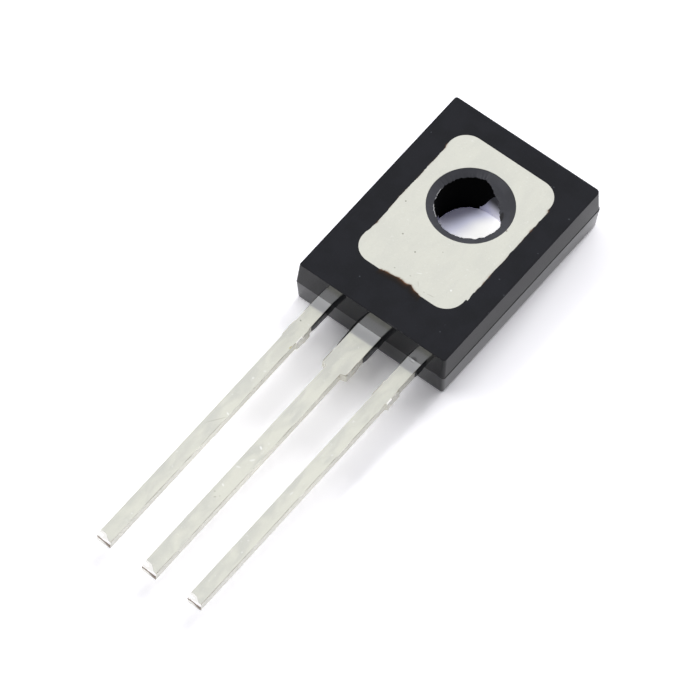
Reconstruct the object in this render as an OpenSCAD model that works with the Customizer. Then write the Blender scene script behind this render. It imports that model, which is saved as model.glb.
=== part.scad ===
// Flat moulded power transistor with three leads in a row.
// +Z is up and is the side of the exposed metal, which is the mounting side.
// The leads run towards -Y. The origin is on the screw hole's axis, in the plane
// of the front face, on which the part lies. Millimetres throughout.

/* [Body] */
// Width of the moulding at the parting plane
body_w = 7.55; // [7.2:0.05:9]
// From the screw hole's axis to the far end, at the parting plane
body_head = 3.95; // [3.6:0.05:5]
// From the screw hole's axis to the lead end, at the parting plane
body_tail = 6.67; // [6.5:0.05:8]
// Thickness from the front face to the mounting face
body_t = 2.46; // [2.35:0.01:3]
// Height of the parting plane above the front face
parting_z = 1.2; // [1.1:0.01:1.25]
// Draft of the walls above the parting plane, in degrees
back_draft = 3.4; // [0.5:0.1:7]
// Draft of the walls below the parting plane, in degrees
front_draft = 4.2; // [0.5:0.1:7]

/* [Screw hole] */
// Radius of the hole in the epoxy lining
hole_r = 1.53; // [1.3:0.01:1.65]
// Thickness of the epoxy lining between the metal and the hole
lining_t = 0.31; // [0.15:0.01:0.5]
// Depth of the lining's sloped mouth below the mounting face
mouth_depth = 0.17; // [0.05:0.01:0.4]

/* [Header plate] */
// Thickness of the header plate
header_t = 1; // [0.8:0.01:1.1]
// Width of the exposed pad
pad_w = 5.28; // [4.6:0.02:5.8]
// From the moulding's far end, at the parting plane, to the pad
far_margin = 1.15; // [0.9:0.01:1.5]
// From the moulding's lead end, at the parting plane, to the pad
lead_margin = 1.9; // [1.85:0.01:2.2]
// Corner radius of the pad
pad_r = 0.9; // [0.3:0.05:1.2]
// Reach of the locking ledge, which the epoxy grips, past the pad's outline
ledge_w = 0.32; // [0.1:0.02:0.45]
// Thickness of the locking ledge
ledge_t = 0.5; // [0.3:0.02:0.7]

/* [Leads] */
// Pitch of the leads
pitch = 2.29; // [2.1:0.01:2.6]
// Length of the leads beyond the moulding
lead_l = 14.37; // [10:0.05:17]
// Thickness of the leads
lead_t = 0.46; // [0.35:0.01:0.6]
// Width of the two outer leads
outer_w = 0.68; // [0.5:0.01:0.9]
// Width of the centre lead over its long run
centre_w = 0.72; // [0.5:0.01:0.9]
// Width of the centre lead between the moulding and its shoulders
neck_w = 1.21; // [1:0.01:1.4]
// Radius in the corners of the centre lead's shoulders
shoulder_r = 0.1; // [0.02:0.01:0.15]
// Radius to which the cutting tool rounds the upper edge of the leads' tips
tip_r = 0.35; // [0.2:0.01:0.5]
// From a tip's end to where its rounding starts, on the lead's centre line
tip_run = 0.16; // [0.05:0.01:0.18]
// Angle between a tip's rounded edge and the lead's square end, in degrees
tip_skew = 18; // [0:1:25]

/* [Tie bar stubs] */
// From the moulding to the stubs that the trimmed tie bar leaves
stub_gap = 1.47; // [1:0.01:2]
// Length of the stubs along the lead
stub_l = 0.9; // [0.5:0.02:1.4]
// How far the stubs stand out of the lead's side
stub_out = 0.06; // [0.02:0.01:0.15]

/* [Centre lead bend] */
// Angle of the two bends that raise the centre lead to the header, in degrees
bend_a = 50; // [40:1:65]
// Inside radius of the two bends
bend_r = 0.2; // [0.1:0.01:0.3]

/* [Bond posts] */
// Width of the posts that the bond wires land on
post_w = 1.5; // [1.2:0.05:1.7]
// Length of the posts along the lead
post_l = 0.8; // [0.6:0.02:0.9]
// Clearance between the posts' ends and the header
post_gap = 0.18; // [0.1:0.01:0.25]
// How far the posts reach outwards past the leads' centre lines
post_out = 0.5; // [0.4:0.01:0.6]

/* [Chip] */
// Side of the square chip
die_w = 1.8; // [1.2:0.05:2.2]
// Thickness of the chip
die_t = 0.2; // [0.1:0.01:0.3]
// Thickness of the solder layer
solder_t = 0.04; // [0.02:0.01:0.08]
// How far the solder reaches past the chip
solder_fillet = 0.08; // [0.02:0.01:0.15]
// Distance from the header's lead end to the chip
die_inset = 0.75; // [0.6:0.05:1]

/* [Bond wires] */
// Diameter of the emitter wire
emitter_wire_d = 0.2; // [0.12:0.01:0.25]
// Diameter of the base wire
base_wire_d = 0.15; // [0.1:0.01:0.25]
// Radius of the wire's arc, as a multiple of the distance that it spans
loop_k = 0.7; // [0.6:0.01:0.9]
// Length of the flattened foot at each end of a wire
foot_l = 0.4; // [0.35:0.01:0.5]

/* [Hidden] */
$fn = 96;
over = 1;                              // how far cutting tools run past a face

// The lead frame lies with its back surface in the parting plane.
lead_top = parting_z;
lead_bottom = lead_top - lead_t;
tip_y = -body_tail - lead_l;
stub_y = -body_tail - stub_gap - stub_l;

pad_head = body_head - far_margin;
pad_tail = body_tail - lead_margin;
header_bottom = body_t - header_t;
header_end = -pad_tail - ledge_w;
metal_hole_r = hole_r + lining_t;

post_end = header_end - post_gap;
post_start = post_end - post_l;

die_y = header_end + die_inset + die_w / 2;
die_back = header_bottom - solder_t;   // the chip hangs below the header
die_face = die_back - die_t;

// Feet of the wires: on the chip's two halves, and at the middle of the posts.
post_x = pitch + post_out - post_w / 2;
post_y = (post_start + post_end) / 2;
chip_foot_x = die_w / 4;
chip_foot_y = die_y - die_w / 6;
foot_spread = 1.3;                     // a foot's width over its wire's diameter
foot_cover = 0.02;                     // height of a foot above the wire's end in it

bend_steps = 10;                       // facets in each bend of the centre lead

// Solid of a flat profile: the profile's axes become Y and Z, w is its width in X.
module along_x(w) {
    translate([-w / 2, 0, 0])
        rotate([90, 0, 90])
            linear_extrude(w)
                children();
}

// Solid of a flat profile: the profile's axes become X and Z, from y0 to y1.
module along_y(y0, y1) {
    translate([0, y1, 0])
        rotate([90, 0, 0])
            linear_extrude(y1 - y0)
                children();
}

// Section of the moulding: widest at the parting plane and drafted both ways.
module drafted_section(low, high) {
    front = parting_z * tan(front_draft);
    back = (body_t - parting_z) * tan(back_draft);
    polygon([[low + front, 0], [high - front, 0], [high, parting_z],
             [high - back, body_t], [low + back, body_t], [low, parting_z]]);
}

module drafted_block() {
    intersection() {
        along_y(-body_tail - over, body_head + over)
            drafted_section(-body_w / 2, body_w / 2);
        along_x(body_w + 2 * over)
            drafted_section(-body_tail, body_head);
    }
}

// Through hole with the sloped mouth of its lining on the mounting side.
module screw_hole() {
    translate([0, 0, -over])
        cylinder(h = body_t + 2 * over, r = hole_r);
    translate([0, 0, body_t - mouth_depth])
        cylinder(h = mouth_depth, r1 = hole_r, r2 = metal_hole_r);
}

// Rounded outline of the pad, let out by grow.
module pad_outline(grow = 0) {
    r = pad_r + grow;
    x = pad_w / 2 + grow - r;
    high = pad_head + grow - r;
    low = -pad_tail - grow + r;
    translate([-x - r, low])
        square([2 * (x + r), high - low]);
    translate([-x, low - r])
        square([2 * x, high - low + 2 * r]);
    for (cx = [-x, x], cy = [low, high])
        translate([cx, cy])
            circle(r);
}

// Side view of the centre lead, from its tip up the two bends to the header: the
// strip's centre line as stations of [y, z, slope], with half its thickness laid
// off square to the slope on both sides.
module centre_lead_profile() {
    half_t = lead_t / 2;
    low_z = lead_bottom + half_t;
    high_z = header_bottom + half_t;
    r_mid = bend_r + half_t;
    link = (high_z - low_z - 2 * r_mid * (1 - cos(bend_a))) / sin(bend_a);
    foot_y = header_end - 2 * r_mid * sin(bend_a) - link * cos(bend_a);
    slopes = [for (i = [0:bend_steps]) bend_a * i / bend_steps];
    stations = [
        [tip_y, low_z, 0],
        for (a = slopes)
            [foot_y + r_mid * sin(a), low_z + r_mid * (1 - cos(a)), a],
        for (a = slopes)
            let (b = bend_a - a)
                [header_end - r_mid * sin(b), high_z - r_mid * (1 - cos(b)), b],
        [header_end + ledge_w, high_z, 0]
    ];
    lower = [for (s = stations) [s.x + half_t * sin(s.z), s.y - half_t * cos(s.z)]];
    upper = [for (s = stations) [s.x - half_t * sin(s.z), s.y + half_t * cos(s.z)]];
    count = len(stations);
    polygon(concat(lower, [for (i = [1:count]) upper[count - i]]));
}

// Fillet in the inner corner at the origin, between a wall along -Y and one along +X.
module corner_fillet(r) {
    lap = r / 2;
    difference() {
        translate([-lap, -r])
            square([r + lap, r + lap]);
        translate([r, -r])
            circle(r);
    }
}

// What the cutting tool takes off a lead's upper edge at its tip: all that lies
// past a round edge of radius tip_r, which starts at the skewed line across the lead.
module tip_rounding(x) {
    translate([x, tip_y + tip_run, lead_top - tip_r])
        rotate([0, 0, -tip_skew])
            difference() {
                translate([-over, -over, 0])
                    cube([2 * over, over, tip_r + over]);
                translate([-2 * over, 0, 0])
                    rotate([0, 90, 0])
                        cylinder(h = 4 * over, r = tip_r);
            }
}

module header() {
    color("silver") {
        difference() {
            union() {
                translate([0, 0, header_bottom])
                    linear_extrude(ledge_t)
                        pad_outline(ledge_w);
                translate([0, 0, header_bottom])
                    linear_extrude(header_t)
                        pad_outline();
            }
            translate([0, 0, header_bottom - over])
                cylinder(h = header_t + 2 * over, r = metal_hole_r);
        }
        centre_lead();
    }
}

// The centre lead: its side view carried across, cut to its outline from above.
module centre_lead() {
    difference() {
        intersection() {
            along_x(neck_w)
                centre_lead_profile();
            translate([0, 0, lead_bottom - over])
                linear_extrude(body_t + 2 * over)
                    centre_lead_outline();
        }
        tip_rounding(0);
    }
}

module centre_lead_outline() {
    translate([-centre_w / 2, tip_y - over])
        square([centre_w, stub_y - tip_y + 2 * over]);
    translate([-neck_w / 2, stub_y])
        square([neck_w, header_end + ledge_w - stub_y]);
    for (side = [0, 1])
        mirror([side, 0])
            translate([centre_w / 2, stub_y])
                corner_fillet(shoulder_r);
}

// An outer lead with its trimmed stubs and its bond post; side is +1 or -1.
module outer_lead(side) {
    x = side * pitch;
    color("silver")
        difference() {
            translate([0, 0, lead_bottom])
                linear_extrude(lead_t) {
                    translate([x - outer_w / 2, tip_y])
                        square([outer_w, post_end - tip_y]);
                    translate([x - outer_w / 2 - stub_out, stub_y])
                        square([outer_w + 2 * stub_out, stub_l]);
                    translate([side * post_x - post_w / 2, post_start])
                        square([post_w, post_l]);
                }
            tip_rounding(x);
        }
}

module emitter_lead() {
    outer_lead(1);
}

module base_lead() {
    outer_lead(-1);
}

module die_solder() {
    w = die_w + 2 * solder_fillet;
    color("lightgray")
        translate([-w / 2, die_y - w / 2, die_back])
            cube([w, w, solder_t]);
}

module silicon_die() {
    color("dimgray")
        translate([-die_w / 2, die_y - die_w / 2, die_face])
            cube([die_w, die_w, die_t]);
}

// A bond wire of diameter d between two pads that face the front, from the point a
// to the point b: one arc in an upright plane, with a flattened foot at each end.
module bond_wire(a, b, d) {
    span = norm([b.x - a.x, b.y - a.y]);
    drop = b.z - a.z;
    chord = norm([span, drop]);
    r = loop_k * chord;
    tilt = atan2(drop, span);
    half = asin(chord / (2 * r));
    sag = r * cos(half);
    foot_h = d * cos(half - abs(tilt)) + foot_cover;
    translate([a.x, a.y, 0])
        rotate([0, 0, atan2(b.y - a.y, b.x - a.x)]) {
            for (p = [[0, a.z], [span, b.z]])
                translate([p.x - foot_l / 2, -d * foot_spread / 2, p.y - foot_h])
                    cube([foot_l, d * foot_spread, foot_h]);
            translate([span / 2 - sag * sin(tilt), 0,
                       (a.z + b.z - foot_h) / 2 + sag * cos(tilt)])
                rotate([90, 0, 0])
                    rotate([0, 0, 270 - half + tilt])
                        rotate_extrude(angle = 2 * half)
                            translate([r, 0])
                                circle(d = d);
        }
}

module emitter_wire() {
    color("gainsboro")
        bond_wire([chip_foot_x, chip_foot_y, die_face],
                  [post_x, post_y, lead_bottom], emitter_wire_d);
}

module base_wire() {
    color("gainsboro")
        bond_wire([-chip_foot_x, chip_foot_y, die_face],
                  [-post_x, post_y, lead_bottom], base_wire_d);
}

module moulded_body() {
    color("#2b2c30")
        difference() {
            drafted_block();
            screw_hole();
            header();
            emitter_lead();
            base_lead();
            die_solder();
            silicon_die();
            emitter_wire();
            base_wire();
        }
}

moulded_body();
header();
emitter_lead();
base_lead();
die_solder();
silicon_die();
emitter_wire();
base_wire();
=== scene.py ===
"""Looks of a flat moulded power transistor with three leads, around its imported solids.

Sizes are in millimetres, unless they are said to be in metres, and are turned into metres
where a mesh or a material is made. +Z is the side of the exposed metal, the leads run towards
-Y, and the screw hole's axis is x = y = 0.
"""
import math
import bpy
import numpy as np
from mathutils import Matrix, Vector


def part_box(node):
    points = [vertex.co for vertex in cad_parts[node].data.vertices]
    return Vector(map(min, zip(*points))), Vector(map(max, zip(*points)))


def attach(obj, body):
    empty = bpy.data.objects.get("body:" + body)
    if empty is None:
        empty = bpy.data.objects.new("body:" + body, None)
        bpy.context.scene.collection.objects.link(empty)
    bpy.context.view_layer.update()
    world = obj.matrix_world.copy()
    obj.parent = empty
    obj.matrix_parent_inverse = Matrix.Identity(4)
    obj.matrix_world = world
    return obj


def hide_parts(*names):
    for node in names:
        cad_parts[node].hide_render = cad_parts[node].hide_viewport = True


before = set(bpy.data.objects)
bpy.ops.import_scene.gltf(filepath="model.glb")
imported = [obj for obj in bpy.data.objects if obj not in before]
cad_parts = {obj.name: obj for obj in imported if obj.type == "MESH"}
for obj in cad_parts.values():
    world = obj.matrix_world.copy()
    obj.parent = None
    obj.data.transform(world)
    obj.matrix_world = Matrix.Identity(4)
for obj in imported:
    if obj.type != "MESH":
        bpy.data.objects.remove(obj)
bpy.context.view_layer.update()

MM = 0.001

# ---- Sizes of the part, from the frame where a node's box gives them -----------------------


def box_mm(node):
    """Lowest and highest corner of a CAD node, in millimetres."""
    low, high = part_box(node)
    return np.array(low) / MM, np.array(high) / MM


BODY_LOW, BODY_HIGH = box_mm("moulded_body")
LEAD_LOW, LEAD_HIGH = box_mm("base_lead")
HEADER_HIGH = box_mm("header")[1]
SOLDER_HIGH = box_mm("die_solder")[1]

BODY_T = BODY_HIGH[2]                       # thickness of the moulding
END_Y = BODY_LOW[1]                         # its end wall, where the leads come out
OUTER_BOX = (BODY_LOW[0], BODY_HIGH[0], BODY_LOW[1], BODY_HIGH[1])     # x0, x1, y0, y1
PARTING_Z = LEAD_HIGH[2]                    # the lead frame's back lies in the parting plane
BACK_INSET, FRONT_INSET = 0.075, 0.088      # draft of the walls behind and before that plane
PARTING_STEP = 0.022                        # the mould's halves are this much out of line
BACK_EDGE_R, FRONT_EDGE_R = 0.04, 0.07
HOLE_R, METAL_HOLE_R = 1.53, 1.84
MOUTH_DEPTH = 0.17                          # the lining slopes down by this to the hole
FILM = 0.012                                # the metal lies this far below the epoxy
HEADER_BOTTOM = SOLDER_HIGH[2]              # the solder lies on the header's front
PAD = (-2.64, 2.64, -4.77, 2.8)             # x0, x1, y0, y1 of the header's exposed plateau
PAD_R = 0.9
LEDGE_W, LEDGE_T = HEADER_HIGH[0] - PAD[1], 0.5
PITCH = 2.29
LEAD_TOP, LEAD_BOTTOM = LEAD_HIGH[2], LEAD_LOW[2]
LEAD_MIDDLE = (LEAD_TOP + LEAD_BOTTOM) / 2
TIP_Y, POST_END = LEAD_LOW[1], LEAD_HIGH[1]
TIP_R = 0.35                                # the sheared tips are rolled down by this radius
OUTER_W, CENTRE_W, NECK_W = 0.68, 0.72, 1.21
STUB = (-9.04, -8.14)                       # y range of the trimmed tie bar's stubs
BEND = (-6.1, PAD[2] - LEDGE_W)             # y range where the centre lead rises to the header
POST_W, POST_L, POST_OUT = 1.5, 0.8, 0.5    # bond post, and how far it goes outwards

# ---- Camera ------------------------------------------------------------------------------

VIEW_AZIMUTH = math.radians(34.72)
VIEW_ELEVATION = math.radians(58.04)
VIEW_ROLL = math.radians(3.504)
VIEW_DISTANCE = 364.99
FOCAL_PIXELS = 9044.5
FRAME_PIXELS = 700
SENSOR_MM = 36.0
VIEW_TARGET = np.array([0.0, -8.0, 1.0])
TARGET_OFFSET_PIXELS = (-0.699, 4.751)      # where the target falls, right of and below centre
NEAR_CLIP, FAR_CLIP = 0.01, 20              # metres


def make_camera():
    """A long lens on the viewing direction, turned about it by the roll."""
    azimuth, elevation = VIEW_AZIMUTH, VIEW_ELEVATION
    back = np.array([math.sin(azimuth) * math.cos(elevation),
                     -math.cos(azimuth) * math.cos(elevation), math.sin(elevation)])
    right = np.array([math.cos(azimuth), math.sin(azimuth), 0.0])
    up = np.cross(back, right)
    across = right * math.cos(VIEW_ROLL) + up * math.sin(VIEW_ROLL)
    upward = up * math.cos(VIEW_ROLL) - right * math.sin(VIEW_ROLL)
    per_pixel = VIEW_DISTANCE / FOCAL_PIXELS
    centre = (VIEW_TARGET - across * TARGET_OFFSET_PIXELS[0] * per_pixel
              + upward * TARGET_OFFSET_PIXELS[1] * per_pixel)
    place = (centre + back * VIEW_DISTANCE) * MM
    data = bpy.data.cameras.new("camera")
    data.sensor_width = SENSOR_MM
    data.lens = FOCAL_PIXELS * SENSOR_MM / FRAME_PIXELS
    data.clip_start, data.clip_end = NEAR_CLIP, FAR_CLIP
    camera = bpy.data.objects.new("camera", data)
    turn = Matrix((across, upward, back)).transposed().to_4x4()
    camera.matrix_world = Matrix.Translation(Vector(place)) @ turn
    bpy.context.scene.collection.objects.link(camera)
    bpy.context.scene.camera = camera


make_camera()

# ---- Node trees --------------------------------------------------------------------------


class Nodes:
    """Short calls for building the node tree of a material or of the world."""

    def __init__(self, owner):
        owner.use_nodes = True
        self.owner = owner
        self.tree = owner.node_tree
        self.tree.nodes.clear()

    def add(self, kind, inputs=None, **settings):
        """A new node with its settings; each input is linked to a socket or set to a value."""
        node = self.tree.nodes.new(kind)
        for name, value in settings.items():
            setattr(node, name, value)
        for name, value in (inputs or {}).items():
            if isinstance(value, bpy.types.NodeSocket):
                self.tree.links.new(value, node.inputs[name])
            else:
                node.inputs[name].default_value = value
        return node

    def finish(self, **sockets):
        """End a material in a principled shader; an underscore in a socket's name stands for a
        space."""
        shader = self.add("ShaderNodeBsdfPrincipled", {
            name.replace("_", " "): value for name, value in sockets.items()})
        self.add("ShaderNodeOutputMaterial", {"Surface": shader.outputs[0]})
        return self.owner

    def place(self):
        return self.add("ShaderNodeTexCoord").outputs["Object"]

    def axes(self):
        return self.add("ShaderNodeSeparateXYZ", {0: self.place()}).outputs

    def value(self, name):
        """A float attribute of the piece's points."""
        return self.add("ShaderNodeAttribute", attribute_name=name).outputs["Fac"]

    def math(self, operation, *values):
        return self.add("ShaderNodeMath", dict(enumerate(values)), operation=operation).outputs[0]

    def length(self, vector):
        node = self.add("ShaderNodeVectorMath", {0: vector}, operation="LENGTH")
        return node.outputs["Value"]

    def ramp(self, value, low, high, to_low=0.0, to_high=1.0):
        """Map a value from low..high to to_low..to_high, smoothly and clamped."""
        node = self.add("ShaderNodeMapRange", {
            "Value": value, "From Min": low, "From Max": high, "To Min": to_low,
            "To Max": to_high}, interpolation_type="SMOOTHSTEP")
        return node.outputs[0]

    def mix(self, share, a, b):
        """Mix two colours; the sockets go by number, because their names repeat."""
        return self.add("ShaderNodeMix", {0: share, 6: a, 7: b}, data_type="RGBA").outputs[2]

    def noise(self, size_mm, detail=3.0, stretch=(1, 1, 1), rough=0.5, distortion=0.0):
        """Noise whose features are about size_mm across."""
        scaled = self.add("ShaderNodeMapping", {"Vector": self.place(), "Scale": stretch})
        node = self.add("ShaderNodeTexNoise", {
            "Vector": scaled.outputs[0], "Scale": 1.0 / (size_mm * MM), "Detail": detail,
            "Roughness": rough, "Distortion": distortion})
        return node.outputs["Fac"]

    def specks(self, spacing_mm, radius_mm, share):
        """1 in small round specks: the middles of some cells of a random net."""
        net = self.add("ShaderNodeTexVoronoi", {
            "Vector": self.place(), "Scale": 1.0 / (spacing_mm * MM)})
        pick = self.add("ShaderNodeSeparateColor", {0: net.outputs["Color"]})
        size = self.math("MULTIPLY", pick.outputs[1], radius_mm / spacing_mm)
        return self.math("MULTIPLY", self.math("LESS_THAN", net.outputs["Distance"], size),
                         self.math("LESS_THAN", pick.outputs[0], share))

    def away(self, middle_mm, radii_mm, turn=0.0):
        """Distance in X and Y from a middle, counted in the radii of a turned ellipse."""
        local = self.add("ShaderNodeMapping", {
            "Vector": self.place(), "Location": (middle_mm[0] * MM, middle_mm[1] * MM, 0),
            "Rotation": (0, 0, turn), "Scale": (radii_mm[0] * MM, radii_mm[1] * MM, 1e6)},
            vector_type="TEXTURE")
        return self.length(local.outputs[0])

    def spot(self, middle_mm, radii_mm, turn=0.0):
        """1 inside an ellipse in X and Y, with a soft edge."""
        return self.ramp(self.away(middle_mm, radii_mm, turn), 0.6, 1.1, 1.0, 0.0)

    def bump(self, height, depth_mm):
        return self.add("ShaderNodeBump", {"Strength": 1.0, "Distance": depth_mm * MM,
                                           "Height": height}).outputs[0]

    def seen_directly(self):
        """1 for a ray from the camera, a mirror or glass, and 0 for light on its way to a matt
        surface."""
        rays = self.add("ShaderNodeLightPath").outputs
        mirrored = self.math("MAXIMUM", rays["Is Glossy Ray"], rays["Is Transmission Ray"])
        return self.math("MAXIMUM", rays["Is Camera Ray"], mirrored)


# ---- Light, world and floor ----------------------------------------------------------------

SOFTBOX_HEIGHT = 0.4                        # metres above the floor
STUDIO_COLOUR, STUDIO_STRENGTH = (0.97, 0.97, 1.0, 1), 0.35
FLOOR_SIDE = 0.6                            # metres
FLOOR_GREY = (0.90, 0.90, 0.90, 1)          # for light on its way to a matt surface
FLOOR_WHITE = (1.33, 1.32, 1.36, 1)         # where the floor is seen
# Light on the floor inside the hole: it starts at x = slope * y + shift, and is full at an x
# that goes between two values where y does; its middle shade has its own place.
GLOW_START, GLOW_FULL_Y, GLOW_FULL_X = (0.6, -1.5), (0.7, 1.6), (0.18, 0.70)
GLOW_SHADES, GLOW_MIDDLE = ((0.0, 0.0, 0.03, 1), (0.34, 0.35, 0.46, 1), (0.78, 0.78, 0.76, 1)), 0.45
# Where the bright left sides of the leads throw light down on the floor beside them: middle,
# radii and strength.
LEAD_GLOWS = [((-1.3, -7.9), (0.62, 1.25), 0.125), ((1.5, -7.5), (0.55, 1.05), 0.11),
              ((-3.25, -7.2), (0.75, 0.8), 0.13)]


def overhead_softbox(name, middle, sides, radiance, reflected=False):
    """A rectangular soft light that faces straight down. middle and sides are in units of its
    height above the floor, so that they say how it looks from the part. It either lights matt
    surfaces or is only reflected by glossy ones, which otherwise see the plain white world."""
    data = bpy.data.lights.new(name, "AREA")
    data.shape = "RECTANGLE"
    data.size, data.size_y = sides[0] * SOFTBOX_HEIGHT, sides[1] * SOFTBOX_HEIGHT
    data.energy = radiance * math.pi * data.size * data.size_y
    light = bpy.data.objects.new(name, data)
    light.location = (middle[0] * SOFTBOX_HEIGHT, middle[1] * SOFTBOX_HEIGHT, SOFTBOX_HEIGHT)
    light.visible_glossy = reflected
    light.visible_diffuse = not reflected
    bpy.context.scene.collection.objects.link(light)


def make_world():
    """Even studio light; rays from the camera, a mirror or glass see plain white."""
    world = bpy.data.worlds.new("studio")
    bpy.context.scene.world = world
    n = Nodes(world)
    studio = n.add("ShaderNodeBackground", {"Color": STUDIO_COLOUR, "Strength": STUDIO_STRENGTH})
    plain = n.add("ShaderNodeBackground", {"Color": (1, 1, 1, 1)})
    mix = n.add("ShaderNodeMixShader", {0: n.seen_directly(), 1: studio.outputs[0],
                                        2: plain.outputs[0]})
    n.add("ShaderNodeOutputWorld", {"Surface": mix.outputs[0]})


def bore_glow(n):
    """Light that the polished side of the bore throws back on the floor inside the hole. It
    rises smoothly along X through three shades, from a slanting straight line to a line that
    moves away from it where Y grows, and stops just short of the hole's wall."""
    axes = n.axes()
    start = n.math("MULTIPLY_ADD", axes["Y"], GLOW_START[0], GLOW_START[1] * MM)
    full = n.ramp(axes["Y"], *(v * MM for v in GLOW_FULL_Y + GLOW_FULL_X))
    shades = n.add("ShaderNodeValToRGB", {0: n.ramp(axes["X"], start, full)})
    stops = shades.color_ramp.elements
    stops[0].color, stops[1].color = GLOW_SHADES[0], GLOW_SHADES[2]
    stops.new(GLOW_MIDDLE).color = GLOW_SHADES[1]
    inside = n.math("LESS_THAN", n.length(n.place()), (HOLE_R - 0.01) * MM)
    return n.add("ShaderNodeEmission", {"Color": shades.outputs[0], "Strength": inside})


def lead_glow(n):
    """Soft patches of light beside the leads: each fades out with the distance from its
    middle, counted in its radii, and they are added up."""
    total = 0.0
    for middle, radii, strength in LEAD_GLOWS:
        total = n.math("ADD", n.ramp(n.away(middle, radii), 0.2, 1.1, strength, 0.0), total)
    return n.add("ShaderNodeEmission", {"Strength": total})


def make_floor():
    """A floor in the plane z = 0 that is plain white where it is seen and keeps its shadows."""
    half = FLOOR_SIDE / 2
    mesh = bpy.data.meshes.new("floor")
    mesh.from_pydata([(-half, -half, 0), (half, -half, 0), (half, half, 0), (-half, half, 0)],
                     [], [(0, 1, 2, 3)])
    floor = bpy.data.objects.new("floor", mesh)
    bpy.context.scene.collection.objects.link(floor)
    n = Nodes(bpy.data.materials.new("white_floor"))
    colour = n.mix(n.seen_directly(), FLOOR_GREY, FLOOR_WHITE)
    total = n.add("ShaderNodeBsdfDiffuse", {"Color": colour})
    for light in (bore_glow(n), lead_glow(n)):
        total = n.add("ShaderNodeAddShader", {0: total.outputs[0], 1: light.outputs[0]})
    n.add("ShaderNodeOutputMaterial", {"Surface": total.outputs[0]})
    mesh.materials.append(n.owner)


overhead_softbox("low_back_panel", (-0.11, 2.92), (0.55, 1.56), 54.0)
overhead_softbox("back_softbox", (-0.06, 0.95), (1.55, 0.96), 2.3)
overhead_softbox("left_softbox", (-1.46, -0.45), (1.56, 1.80), 2.6)
overhead_softbox("front_reflector", (-0.36, -0.62), (0.36, 0.50), 4.2, True)
make_world()
make_floor()

bpy.context.scene.view_settings.view_transform = "Standard"

# ---- Mesh helpers ------------------------------------------------------------------------


def build_mesh(name, points, quads, triangles=(), values=None, bands=None):
    """A mesh object from points in millimetres and index arrays, with float attributes on its
    points and a material number for each of its faces."""
    quads = np.asarray(quads, np.int32).reshape(-1, 4)
    triangles = np.asarray(triangles, np.int32).reshape(-1, 3)
    mesh = bpy.data.meshes.new(name)
    mesh.vertices.add(len(points))
    mesh.vertices.foreach_set("co", (np.asarray(points) * MM).astype(np.float32).ravel())
    corners = np.concatenate([quads.ravel(), triangles.ravel()])
    mesh.loops.add(len(corners))
    mesh.loops.foreach_set("vertex_index", corners)
    starts = np.concatenate([np.arange(len(quads)) * 4,
                             quads.size + np.arange(len(triangles)) * 3])
    mesh.polygons.add(len(starts))
    mesh.polygons.foreach_set("loop_start", starts.astype(np.int32))
    mesh.polygons.foreach_set("use_smooth", np.ones(len(starts), bool))
    mesh.update(calc_edges=True)
    mesh.validate()
    for key, data in (values or {}).items():
        attribute = mesh.attributes.new(key, "FLOAT", "POINT")
        attribute.data.foreach_set("value", np.asarray(data, np.float32).ravel())
    if bands is not None:
        mesh.polygons.foreach_set("material_index", np.asarray(bands, np.int32))
    piece = bpy.data.objects.new(name, mesh)
    bpy.context.scene.collection.objects.link(piece)
    return piece


def grid_quads(rows, columns, wrap_rows):
    """Quads of a grid of points whose columns close on themselves, and its rows if asked."""
    count = rows if wrap_rows else rows - 1
    r = np.arange(count)[:, None]
    c = np.arange(columns)[None, :]
    here, below = r * columns, (r + 1) % rows * columns
    after = (c + 1) % columns
    return np.stack([here + c, below + c, below + after, here + after], -1).reshape(-1, 4)


def capped_tube(name, rings, caps, values=None):
    """A closed tube through rings of points, with a fan of triangles from its first and its
    last ring to the points of the two caps."""
    rows, columns = rings.shape[:2]
    c = np.arange(columns)
    after = (c + 1) % columns
    end = (rows - 1) * columns
    first, last = (np.full(columns, rows * columns + cap) for cap in (0, 1))
    triangles = np.concatenate([np.stack([after, c, first], -1),
                                np.stack([end + c, end + after, last], -1)])
    return build_mesh(name, np.concatenate([rings.reshape(-1, 3), caps]),
                      grid_quads(rows, columns, False)[:, ::-1], triangles, values)


def wave(t, period, seed):
    """Smooth random values from -1 to 1 along t, about one swing in each period."""
    knots = np.random.default_rng(seed).uniform(-1, 1, 256)
    place = np.asarray(t, float) / period + 97
    low = np.floor(place).astype(int)
    part = place - low
    part = part * part * (3 - 2 * part)
    return knots[low % 256] * (1 - part) + knots[(low + 1) % 256] * part


def waves(t, *rows):
    """Sum of waves along t, each given by its height, period and seed."""
    return sum(height * wave(t, period, seed) for height, period, seed in rows)


def step(t, low, high):
    """0 below low, 1 above high, and a smooth rise between them."""
    part = np.clip((np.asarray(t, float) - low) / (high - low), 0, 1)
    return part * part * (3 - 2 * part)


def window(t, low, high, soft):
    """1 between low and high, 0 outside, with smooth ends."""
    return step(t, low - soft, low + soft) * (1 - step(t, high - soft, high + soft))


# ---- Loops round the screw hole's axis ------------------------------------------------------


def spoke_angles():
    """Angles of an even turn of spokes, and of more that are packed round the box's corners."""
    even = np.linspace(-math.pi, math.pi, 721)[:-1]
    packed = [math.atan2(y, x) + np.linspace(-0.035, 0.035, 36)
              for x in OUTER_BOX[:2] for y in OUTER_BOX[2:]]
    return np.unique(np.round(np.concatenate([even, *packed]), 6))


SPOKES = spoke_angles()
COS, SIN = np.cos(SPOKES), np.sin(SPOKES)


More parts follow.
